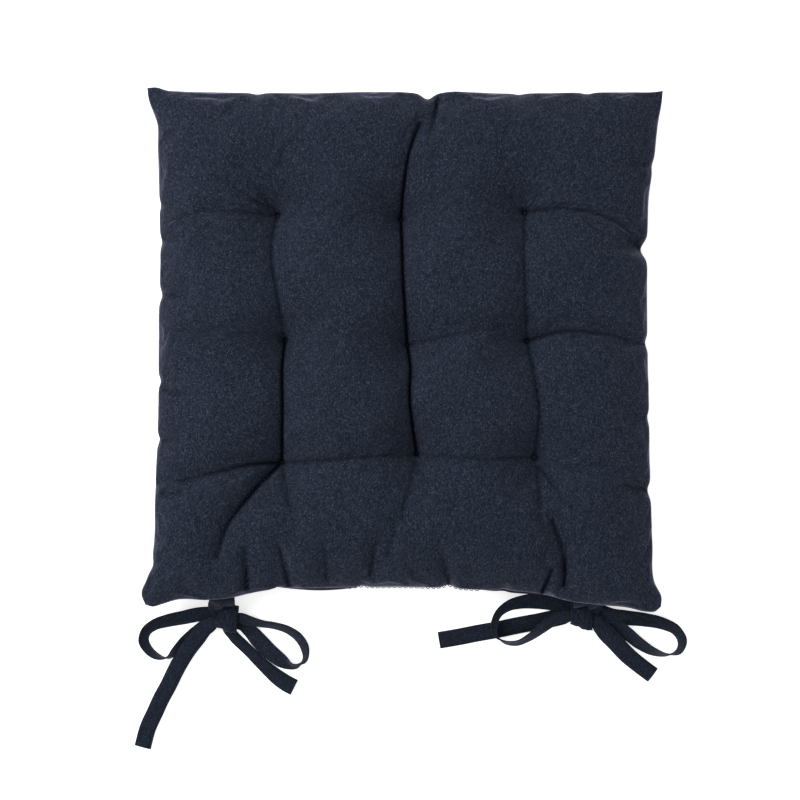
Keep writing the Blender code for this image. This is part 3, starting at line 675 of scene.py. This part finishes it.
columnFolds = inMetres([
    [(-93, 175), (-94, 140), (-94.5, 104), (-97.5, 90), (-98, 70), (-93, 39),
     (-89, 9), (-90.5, -12), (-90, -37), (-91.5, -84.5), (-89, -125), (-86, -165)],
    [(10, 175), (1.5, 122), (-0.5, 101), (0.5, 82), (1, 62), (4.5, 5),
     (6.8, -12), (6.2, -33), (11.5, -78), (4, -120), (2, -165)],
    [(100, 175), (96, 135), (94, 106), (93, 77), (95.5, 8), (100, -14),
     (104, -45), (101.5, -81), (107, -120), (110, -165)],
])
rowFolds = inMetres([
    [(-166, -96), (-134, -90), (-118, -86.5), (-91.5, -84.5), (-60, -83), (-39, -81),
     (11.5, -78), (50, -81), (101.5, -81), (140, -90), (172, -98)],
    [(-170, 12), (-130, 12), (-89, 9), (-45, 9), (4.5, 5), (40, 11),
     (95.5, 8), (121, 14.5), (151, 13), (174, 8)],
    [(-170, 100), (-135, 104), (-94.5, 104), (-48, 106), (-0.5, 101), (45, 107),
     (94, 106), (125, 107.5), (158, 100), (172, 92)],
])
creases = inMetres([  # sharp folds: their way, the depth where they start and end, and their half width
    ([(-94.5, 104), (-97.5, 90), (-98, 70), (-93, 39), (-89, 9)], 1.6, 1.4, 3),
    ([(-89, 9), (-90.5, -12), (-90, -37), (-91.5, -84.5)], 3.2, 3.4, 2.8),
    ([(13.5, 172), (6, 150), (1.5, 122), (-0.5, 101)], 2.6, 3.2, 3),
    ([(-0.5, 101), (0.5, 82), (1, 62), (4.5, 5)], 3.4, 3.4, 2.8),
    ([(4.5, 5), (6.8, -12), (6.2, -33), (11.5, -78)], 3.6, 3.6, 2.8),
    ([(27.5, 192), (22.5, 166)], 3.6, 1.4, 3.2),
    ([(94, 106), (93, 77), (95.5, 8)], 1.5, 1.3, 2.6),
    ([(95.5, 8), (100, -14), (104, -45), (101.5, -81)], 1.7, 1.4, 2.6),
    ([(95.5, 8), (121, 14.5), (151, 13), (178, 7)], 2.1, 1, 2.6),
    ([(94, 106), (125, 107.5), (158, 100), (182, 84)], 1.4, 1.2, 3.2),
    ([(4.5, 5), (40, 12), (75, 18)], 1.4, 0.6, 3.2),
    ([(-91.5, -84.5), (-118, -86.5), (-134, -90), (-166, -98)], 2.8, 1.2, 2.8),
    ([(-91.5, -84.5), (-60, -83), (-39, -81), (11.5, -78)], 1.4, 1.1, 3),
    ([(11.5, -78), (50, -81), (101.5, -81)], 1, 1, 3),
    ([(-91.5, -84.5), (-115, -109), (-134, -136), (-140, -156)], 4, 2, 2.8),
    ([(-90.5, -90), (-85, -115), (-79, -140)], 1.6, 0.6, 2.8),
    ([(-119, -150), (-118, -180)], 2.2, 3.4, 3.4),
    ([(-93, -146), (-86, -178)], 1.2, 2.6, 3.4),
    ([(-58, -147), (-57, -172)], 0.8, 2, 3.4),
    ([(-18, -136), (-24, -170)], 1, 2, 3.4),
    ([(-5, -130), (-9, -154)], 1, 1, 3.4),
    ([(30, -150), (36, -178)], 0.6, 2.6, 3.4),
    ([(103, -88), (107, -136)], 1.6, 0.8, 2.8),
    ([(105, -88), (120, -108), (132, -121)], 1.8, 0.6, 2.8),
    ([(114, -128), (123, -155), (124, -178)], 1.8, 3.4, 3),
    ([(114, -166), (107, -184)], 2, 3, 3.2),
    ([(10.5, -84), (-1, -128)], 1.2, 0.6, 3.2),
    ([(-138, 131), (-100, 108)], 0.6, 1.6, 3.4),
    ([(-123, 142), (-97, 108)], 0.6, 1.4, 3.4),
    ([(-150, 106), (-98, 104)], 0.6, 1.4, 3.4),
    ([(-180, -30), (-160, -34)], 1.6, 0.4, 3.4),
    ([(-182, -68), (-164, -66)], 1.6, 0.4, 3.4),
    ([(-184, -110), (-166, -108)], 1.4, 0.4, 3.4),
    ([(-180, 43), (-162, 40)], 1.6, 0.4, 3.4),
    ([(186, 78), (166, 88)], 2.6, 0.8, 3.4),
    ([(186, 142), (172, 140)], 1.4, 0.4, 3.4),
    ([(187, -106), (168, -102)], 1.8, 0.6, 3.4),
    ([(187, -50), (171, -48)], 1.4, 0.4, 3.4),
])


def edgeLine(points, shares):
    points = np.array(points, float)
    fine, _ = smoothLine(np.column_stack([points, np.zeros(len(points))]), 0.002)
    track = np.concatenate([[0], np.cumsum(np.linalg.norm(np.diff(fine, axis=0), axis=1))])
    where = (shares + 1) / 2 * track[-1]
    return np.column_stack([np.interp(where, track, fine[:, 0]), np.interp(where, track, fine[:, 1])])


def crowded(p, lines):
    # the grid's shares from edge to edge, close together at the edges and at the lines of the tufts
    fine = np.linspace(-1, 1, 4001)
    density = 1 + p["edgeCrowding"] * np.exp(-(1 - np.abs(fine)) / p["crowdedReach"])
    for line in lines:
        density += p["tuftCrowding"] * np.exp(-(((fine - line) / p["crowdedReach"]) ** 2))
    count = np.concatenate([[0], np.cumsum((density[1:] + density[:-1]) / 2)])
    return np.interp(np.linspace(0, 1, p["cells"] + 1), count / count[-1], fine)


def padPlan(across, up):
    # every cloth point's place, blended inwards from the four sewn edges
    far = edgeLine(sewnEdge["far"], across)
    near = edgeLine(sewnEdge["near"], across)
    left = edgeLine(sewnEdge["left"][::-1], up)
    right = edgeLine(sewnEdge["right"][::-1], up)
    u = ((across + 1) / 2)[:, None, None]
    v = ((up + 1) / 2)[None, :, None]
    sides = (1 - u) * left[None, :, :] + u * right[None, :, :]
    ends = (1 - v) * near[:, None, :] + v * far[:, None, :]
    corners = (
        (1 - u) * (1 - v) * near[0] + u * (1 - v) * near[-1] + (1 - u) * v * far[0] + u * v * far[-1]
    )
    return sides + ends - corners


def tentAt(shares, lines, k):
    # 1 at one line of tufts, falling to 0 at its neighbours
    stops = [-1, *lines, 1]
    return np.interp(shares, stops[k:k + 3], (0, 1, 0))


def followTufts(plan, across, up, p):
    # the grid's own lines go along the folds from tuft to tuft, so that the folds can be sharp
    for _ in range(2):
        for lines, shares, other, ways, axis in (
            (p["columnShares"], across, up, columnFolds, 0), (p["rowShares"], up, across, rowFolds, 1),
        ):
            fade = np.clip((1 - np.abs(other)) / 0.12, 0, 1)
            moved = np.zeros(plan.shape[:2])
            for k, way in enumerate(ways):
                nearest = int(np.argmin(np.abs(shares - lines[k])))
                line = plan[nearest] if axis == 0 else plan[:, nearest]
                way = np.array(sorted(curved(way).tolist(), key=lambda point: point[1 - axis]))
                shift = (np.interp(line[:, 1 - axis], way[:, 1 - axis], way[:, axis]) - line[:, axis]) * fade
                tent = tentAt(shares, lines, k)
                moved += tent[:, None] * shift[None, :] if axis == 0 else shift[:, None] * tent[None, :]
            plan[..., axis] += moved
    return plan


def toWay(plan, points):
    # distance of each place to a way, and how far along it the nearest point is, from 0 to 1
    points = np.array(points, float)
    steps = np.linalg.norm(np.diff(points, axis=0), axis=1)
    walked = np.concatenate([[0], np.cumsum(steps)])
    best = np.full(plan.shape[:2], 1e9)
    share = np.zeros(plan.shape[:2])
    for k in range(len(points) - 1):
        run = points[k + 1] - points[k]
        t = np.clip(((plan - points[k]) @ run) / (run @ run), 0, 1)
        gap = np.linalg.norm(plan - (points[k] + t[..., None] * run), axis=2)
        nearer = gap < best
        best = np.where(nearer, gap, best)
        share = np.where(nearer, (walked[k] + t * steps[k]) / walked[-1], share)
    return best, share


def curved(points):
    if len(points) < 3:
        return np.array(points, float)
    line, _ = smoothLine([(x, y, 0) for x, y in points], 0.004)
    return line[:, :2]


def padShape(p):
    # the cover before it swells: places of the top and the bottom, and how firmly each point is held
    across, up = crowded(p, p["columnShares"]), crowded(p, p["rowShares"])
    plan = followTufts(padPlan(across, up), across, up, p)
    u, v = across[:, None], up[None, :]
    puff = (np.clip(1 - u * u, 0, 1) * np.clip(1 - v * v, 0, 1)) ** p["fullness"]
    drawnIn = np.zeros_like(plan)
    gathered = np.zeros(plan.shape[:2])
    for x, y, depth, width, reach in puckers:
        away = plan - np.array([x, y])
        inward = -np.array([x, y]) if abs(abs(x) - abs(y)) < 0.02 else (
            np.array([-math.copysign(1, x), 0]) if abs(x) > abs(y) else np.array([0, -math.copysign(1, y)])
        )
        inward = inward / np.linalg.norm(inward)
        along = away @ inward
        beside = np.abs(away @ np.array([-inward[1], inward[0]]))
        pull = depth * np.exp(-((beside / width) ** 2)) * np.exp(-np.clip(along, 0, None) / reach)
        drawnIn += pull[..., None] * inward
        gathered += 0.9 * pull * np.exp(-((along / reach) ** 2))
    plan = plan + drawnIn
    top, bottom = np.ones_like(puff), np.ones_like(puff)
    held = np.zeros_like(puff)
    for x, y in tuftPlaces.values():
        gap = np.linalg.norm(plan - np.array([x, y]), axis=2)
        top *= 1 - p["tuftTop"] * np.exp(-((gap / p["tuftReach"]) ** 2))
        bottom *= 1 - p["tuftBottom"] * np.exp(-((gap / p["tuftReach"]) ** 2))
        held = np.maximum(held, np.exp(-((gap / 0.003) ** 4)))
    base = p["seamHeight"]
    rise = (p["crown"] - base) * puff * top
    hollow = np.zeros_like(puff)
    for points, first, last, width in valleys:
        gap, share = toWay(plan, curved(points))
        depth = (first + (last - first) * share) * p["valleyShare"]
        hollow = np.maximum(hollow, depth * np.exp(-((gap / width) ** 2)))
    for points, first, last, width in creases:
        gap, share = toWay(plan, curved(points))
        depth = first + (last - first) * share
        held = np.maximum(held, 0.9 * np.clip(depth / 0.003, 0.3, 1) * np.exp(-((gap / 0.0022) ** 2)))
    rise = rise - hollow * np.clip(puff / 0.5, 0, 1) - gathered
    topZ = base + np.maximum(rise, 0.0002 * (puff > 0))
    fall = base * np.minimum(p["pressed"] * puff * bottom, 1.0)
    bottomZ = base - np.maximum(fall - 0.5 * gathered * (puff > 0), 0.0002 * (puff > 0))
    return plan, topZ, np.clip(bottomZ, 0, None), np.clip(held, 0, 1)


def sharpFolds(plan, p):
    # how deep each point of the top lies in a fold or a tuft, and how much painted shade darkens the cloth in
    # there
    depth, paintedShadeMap = np.zeros(plan.shape[:2]), np.zeros(plan.shape[:2])
    for points, first, last, width in creases:
        gap, share = toWay(plan, curved(points))
        here = (first + (last - first) * share) * p["foldShare"]
        sharp = 0.72 * np.exp(-gap / (0.8 * width))
        soft = 0.28 * np.exp(-((gap / (2.6 * width)) ** 2))
        depth = np.maximum(depth, here * (sharp + soft))
        closed = np.clip(here / 0.0052, 0, 1) ** 1.2
        paintedShadeMap = np.maximum(paintedShadeMap, closed * np.exp(-((gap / p["paintedFoldShadeReach"]) ** 2)))
    for x, y in tuftPlaces.values():
        gap = np.linalg.norm(plan - np.array([x, y]), axis=2)
        pinch = np.exp(-((gap / p["pinchReach"]) ** 2))
        depth = depth + p["pinchDepth"] * pinch
        paintedShadeMap = np.maximum(paintedShadeMap, np.exp(-((gap / (0.8 * p["pinchReach"])) ** 2)))
    return depth, paintedShadeMap


def coverMesh(plan, topZ, bottomZ):
    # both panels as one closed cover, sewn together round the edge
    size = plan.shape[0]
    number = np.arange(size * size).reshape(size, size)
    under = np.full((size, size), -1)
    verts = [(*plan[i, j], topZ[i, j]) for i in range(size) for j in range(size)]
    for i in range(size):
        for j in range(size):
            if 0 < i < size - 1 and 0 < j < size - 1:
                under[i, j] = len(verts)
                verts.append((*plan[i, j], bottomZ[i, j]))
            else:
                under[i, j] = number[i, j]
    faces = []
    for i in range(size - 1):
        for j in range(size - 1):
            faces.append((number[i, j], number[i + 1, j], number[i + 1, j + 1], number[i, j + 1]))
    for i in range(size - 1):
        for j in range(size - 1):
            faces.append((under[i, j], under[i, j + 1], under[i + 1, j + 1], under[i + 1, j]))
    return verts, [tuple(int(v) for v in face) for face in faces], number, under


swelling = {
    "pressure": 4.0,
    "frames": 20,
    "mass": 0.02,
    "tension": 15.0,
    "bending": 0.4,
    "slack": -0.012,  # how much longer the cloth is than the shape that it starts from
    "cap": 0.009,
    "quality": 5,
}


def swell(cover, held, s):
    group = cover.vertex_groups.new(name="held")
    for index, weight in enumerate(held):
        if weight > 0.02:
            group.add([index], float(weight), "REPLACE")
    start = np.array([v.co[:] for v in cover.data.vertices])
    cloth = cover.modifiers.new("swelling", "CLOTH")
    cloth.settings.quality = s["quality"]
    cloth.settings.mass = s["mass"]
    cloth.settings.tension_stiffness = s["tension"]
    cloth.settings.compression_stiffness = s["tension"]
    cloth.settings.bending_stiffness = s["bending"]
    cloth.settings.use_pressure = True
    cloth.settings.uniform_pressure_force = s["pressure"]
    cloth.settings.shrink_min = s["slack"]
    cloth.settings.vertex_group_mass = "held"
    cloth.settings.effector_weights.gravity = 0
    cloth.collision_settings.use_collision = False
    cloth.point_cache.frame_start = 1
    cloth.point_cache.frame_end = s["frames"]
    for number in range(1, s["frames"] + 1):
        scene.frame_set(number)
    seen = cover.evaluated_get(bpy.context.evaluated_depsgraph_get())
    swollen = np.array([v.co[:] for v in seen.data.vertices])
    cover.modifiers.remove(cloth)
    scene.frame_set(1)
    moved = swollen - start
    far = np.linalg.norm(moved, axis=1)
    print("the cloth moved up to", round(float(far.max()) * 1000, 2), "mm")
    moved *= np.minimum(1, s["cap"] / np.maximum(far, 1e-9))[:, None]
    places = start + moved
    return places


def finer(values):
    # one more value between every two, on a smooth curve through its neighbours
    for axis in (0, 1):
        rows = np.moveaxis(values, axis, 0)
        longer = np.concatenate([2 * rows[:1] - rows[1:2], rows, 2 * rows[-1:] - rows[-2:-1]])
        full = np.empty((2 * len(rows) - 1, *rows.shape[1:]))
        full[::2] = rows
        full[1::2] = (9 * (longer[1:-2] + longer[2:-1]) - longer[:-3] - longer[3:]) / 16
        values = np.moveaxis(full, 0, axis)
    return values


def fillCover(p):
    # the cover swells on every second line of the grid, and then its folds are drawn in sharply
    plan, topZ, bottomZ, held = padShape(p)
    top = np.concatenate([plan, topZ[..., None]], axis=2)
    under = np.concatenate([plan, bottomZ[..., None]], axis=2)
    under[[0, -1]], under[:, [0, -1]] = top[[0, -1]], top[:, [0, -1]]
    verts, faces, topNumber, underNumber = coverMesh(plan[::2, ::2], topZ[::2, ::2], bottomZ[::2, ::2])
    cover = newPiece("coverDraft", verts, faces, coverFabric)
    hold = np.ones(len(verts))
    hold[topNumber[1:-1, 1:-1]] = held[::2, ::2][1:-1, 1:-1]
    swollen = swell(cover, hold, swelling)
    bpy.data.objects.remove(cover, do_unlink=True)
    top += finer(swollen[topNumber] - top[::2, ::2])
    under += finer(swollen[underNumber] - under[::2, ::2])
    depth, paintedShadeMap = sharpFolds(plan, p)
    edge = np.clip((top[..., 2] - p["seamHeight"]) / 0.006, 0, 1)
    top[..., 2] -= depth * edge
    x, beyond = under[..., 0], under[..., 1] - plan[:, :1, 1]
    shown = np.clip(np.cos((x - p["underMiddle"]) / p["underWave"]) * 0.5 + 0.35, 0, 1)
    shown = shown * np.clip((p["underEnds"] - np.abs(x)) / 0.012, 0, 1)
    bulge = np.clip(beyond / 0.0022, 0, 1) * np.exp(-beyond / p["underDepth"])
    under[..., 1] -= p["underReach"] * 1.6 * shown * bulge
    under[..., 2] = np.clip(under[..., 2], 0, None)
    top[..., 2] = np.maximum(top[..., 2], under[..., 2] + p["clothGap"])
    top[[0, -1]], top[:, [0, -1]] = under[[0, -1]], under[:, [0, -1]]
    paintedUnderShade = 0.8 * np.exp(-np.abs(beyond) / 0.012)  # painted shade on the strip that is turned under at the ties, darkest at the tie edge
    return top, under, paintedShadeMap, paintedUnderShade


topPlaces, underPlaces, paintedFoldShades, paintedUnderShades = fillCover(pad)
print("the cover is filled out")


def clothWays(places):
    # how far each point is along the cloth itself, from the middle
    middle = places.shape[0] // 2
    right = np.zeros(places.shape[:2])
    right[1:] = np.cumsum(np.linalg.norm(np.diff(places, axis=0), axis=2), axis=0)
    up = np.zeros(places.shape[:2])
    up[:, 1:] = np.cumsum(np.linalg.norm(np.diff(places, axis=1), axis=2), axis=1)
    return right - right[middle][None, :], up - up[:, middle][:, None]


def makePanel(name, places, paintedShades, upwards, node):
    size = places.shape[0]
    x, y = clothWays(places)
    quads, ways = [], []
    for i in range(size - 1):
        for j in range(size - 1):
            corners = [(i, j), (i + 1, j), (i + 1, j + 1), (i, j + 1)]
            if not upwards:
                corners = corners[::-1]
            quads.append(tuple(a * size + b for a, b in corners))
            ways += [(x[a, b], y[a, b]) for a, b in corners]
    panel = newPiece(name, places.reshape(-1, 3), quads, coverFabric)
    layClothWay(panel, ways)
    # the painted shade goes on the panel as a point attribute that the cloth's colour reads
    paintedShadeMap = panel.data.attributes.new("paintedShade", "FLOAT", "POINT")
    paintedShadeMap.data.foreach_set("value", paintedShades.ravel())
    applied(panel, "SOLIDIFY", thickness=pad["clothWall"], offset=-1.0)
    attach(panel, "cushion")
    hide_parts(node)
    return panel


def lowestNear(heights, reach):
    found = heights.copy()
    for i in range(-reach, reach + 1):
        for j in range(-reach, reach + 1):
            found = np.minimum(found, np.roll(heights, (i, j), axis=(0, 1)))
    return found


def makeFilling(name, top, under):
    # the fibre stays a little inside the cloth all round
    keep = list(range(14, top.shape[0] - 14, 2))
    upper, lower = top.copy(), under.copy()
    upper[..., 2] = lowestNear(upper[..., 2], 3)
    lower[..., 2] = -lowestNear(-lower[..., 2], 3)
    upper, lower = upper[np.ix_(keep, keep)], lower[np.ix_(keep, keep)]
    middle = (upper[..., 2] + lower[..., 2]) / 2
    upper[..., 2] = np.maximum(upper[..., 2] - 0.0032, middle + 0.0004)
    lower[..., 2] = np.minimum(lower[..., 2] + 0.0024, middle - 0.0004)
    size = len(keep)
    verts = list(upper.reshape(-1, 3)) + list(lower.reshape(-1, 3))
    quads = []
    for i in range(size - 1):
        for j in range(size - 1):
            a, b, c, d = i * size + j, (i + 1) * size + j, (i + 1) * size + j + 1, i * size + j + 1
            quads.append((a, b, c, d))
            quads.append(tuple(size * size + v for v in (d, c, b, a)))
    rim = [(i, 0) for i in range(size - 1)] + [(size - 1, j) for j in range(size - 1)]
    rim += [(size - 1 - i, size - 1) for i in range(size - 1)] + [(0, size - 1 - j) for j in range(size - 1)]
    for k in range(len(rim)):
        a, b = (i * size + j for i, j in (rim[k], rim[(k + 1) % len(rim)]))
        quads.append((b, a, size * size + a, size * size + b))
    filling = newPiece(name, verts, quads, whiteFibre)
    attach(filling, "cushion")
    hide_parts("fibre_filling")
    return filling


makeFilling("fibreFilling", topPlaces, underPlaces)
makePanel("topCoverPanel", topPlaces, paintedFoldShades, True, "top_cover_panel")
makePanel("bottomCoverPanel", underPlaces, paintedUnderShades, False, "bottom_cover_panel")
print("both panels are sewn round the filling")


tuftStitch = {
    "radius": 0.00045,
    "reach": 0.0019,  # half the length of a stitch
    "strands": 3,
    "spread": 1.9,  # radii from one strand to the next
    "lift": 0.0007,  # how far the middle strand stands above the cloth
    "sunk": 0.0022,  # how far a stitch's ends go in at the top, and at the underside
    "sunkUnder": 0.0014,
    "lowest": 0.0012,
}


def threadMesh(name, runs, radius, sides=8):
    # each run of thread is a round tube through its points
    verts, quads = [], []
    for points in runs:
        line, _ = smoothLine(points, radius * 1.6)
        ahead = np.gradient(line, axis=0)
        ahead /= np.linalg.norm(ahead, axis=1)[:, None]
        start = len(verts)
        side = np.cross(ahead[0], (0.31, 0.22, 0.93))
        for place, way in zip(line, ahead):
            side = side - way * (side @ way)
            side /= np.linalg.norm(side)
            over = np.cross(way, side)
            for k in range(sides):
                angle = 2 * math.pi * k / sides
                verts.append(place + radius * (math.cos(angle) * side + math.sin(angle) * over))
        for ring in range(len(line) - 1):
            for k in range(sides):
                a, b = start + ring * sides + k, start + ring * sides + (k + 1) % sides
                quads.append((a, b, b + sides, a + sides))
        quads.append(tuple(start + k for k in reversed(range(sides))))
        quads.append(tuple(len(verts) - sides + k for k in range(sides)))
    return newPiece(name, verts, quads, navyThread)


def surfaceAt(places, x, y):
    gap = np.hypot(places[..., 0] - x, places[..., 1] - y)
    return float(places[np.unravel_index(np.argmin(gap), gap.shape)][2])


def makeTuft(name, x, y, turn):
    t = tuftStitch
    above, below = surfaceAt(topPlaces, x, y), surfaceAt(underPlaces, x, y)
    dx, dy = math.cos(turn) * t["reach"], math.sin(turn) * t["reach"]
    runs = []
    for k in range(t["strands"]):
        shift = (k - 1) * t["radius"] * t["spread"]
        ox, oy = -math.sin(turn) * shift, math.cos(turn) * shift
        lift = t["lift"] - 0.0002 * abs(k - 1)
        steps = ((1, -t["sunk"]), (0.8, 0.2 * lift), (0, lift), (-0.8, 0.2 * lift), (-1, -t["sunk"]))
        runs.append([(x + ox + share * dx, y + oy + share * dy, above + rise) for share, rise in steps])
        runs.append([
            (x + ox * 0.5, y + oy * 0.5, above), (x + ox * 0.3, y + oy * 0.3, (above + below) / 2),
            (x + ox * 0.5, y + oy * 0.5, max(below, t["lowest"])),
        ])
        runs.append([
            (x + ox + dx, y + oy + dy, below + t["sunkUnder"]), (x + ox, y + oy, below - 0.0003),
            (x + ox - dx, y + oy - dy, below + t["sunkUnder"]),
        ])
    tuft = threadMesh(name, runs, t["radius"])
    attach(tuft, "cushion")
    return tuft


for number, (key, (x, y)) in enumerate(tuftPlaces.items()):
    tuft = makeTuft("tuftThread" + key.upper(), x, y, 0.3 + 1.1 * number)
    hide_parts("tuft_thread_" + key)

seams = {
    "radius": 0.0003,
    "inset": 0.0012,
    "closingFrom": -0.055,  # where the opening that is closed last starts and ends, across the tie edge
    "closingTo": 0.062,
    "tieEdge": -0.17,  # everything nearer than this belongs to the tie edge
    "whipStep": 0.0042,
    "whipBite": 0.0016,  # how far a whip stitch goes in from the edge, and how far it stands out
    "whipOut": 0.0006,
}


def edgeRing(places):
    size = places.shape[0]
    ring = [places[i, 0] for i in range(size - 1)] + [places[size - 1, j] for j in range(size - 1)]
    ring += [places[size - 1 - i, size - 1] for i in range(size - 1)]
    ring += [places[0, size - 1 - j] for j in range(size - 1)]
    return np.array(ring)


def makeSeams(s):
    ring = edgeRing(topPlaces)
    inner = ring.copy()
    lengths = np.linalg.norm(inner[:, :2], axis=1)[:, None]
    inner[:, :2] -= inner[:, :2] / lengths * s["inset"]
    nearEdge = ring[:, 1] < s["tieEdge"]
    closing = nearEdge & (ring[:, 0] > s["closingFrom"]) & (ring[:, 0] < s["closingTo"])
    first, last = np.flatnonzero(closing)[[0, -1]]
    run = np.concatenate([inner[last + 1:], inner[:first]])
    perimeter = threadMesh("perimeterSeamThread", [run[::2]], s["radius"], 6)
    whips = []
    line, _ = smoothLine(ring[first:last + 1], s["whipStep"])
    bite, out = s["whipBite"], s["whipOut"]
    for a, b in zip(line[:-1], line[1:]):
        whips.append([
            (a[0], a[1] + bite, a[2] + bite), (a[0] * 0.7 + b[0] * 0.3, a[1] - out, a[2] + 0.0004),
            (a[0] * 0.3 + b[0] * 0.7, b[1] - out, b[2] - 0.0004), (b[0], b[1] + bite, b[2] - bite),
        ])
    closer = threadMesh("closingSeamThread", whips, s["radius"], 6)
    for thread, node in ((perimeter, "perimeter_seam_thread"), (closer, "closing_seam_thread")):
        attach(thread, "cushion")
        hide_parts(node)


makeSeams(seams)
print("tufts and seams are stitched")
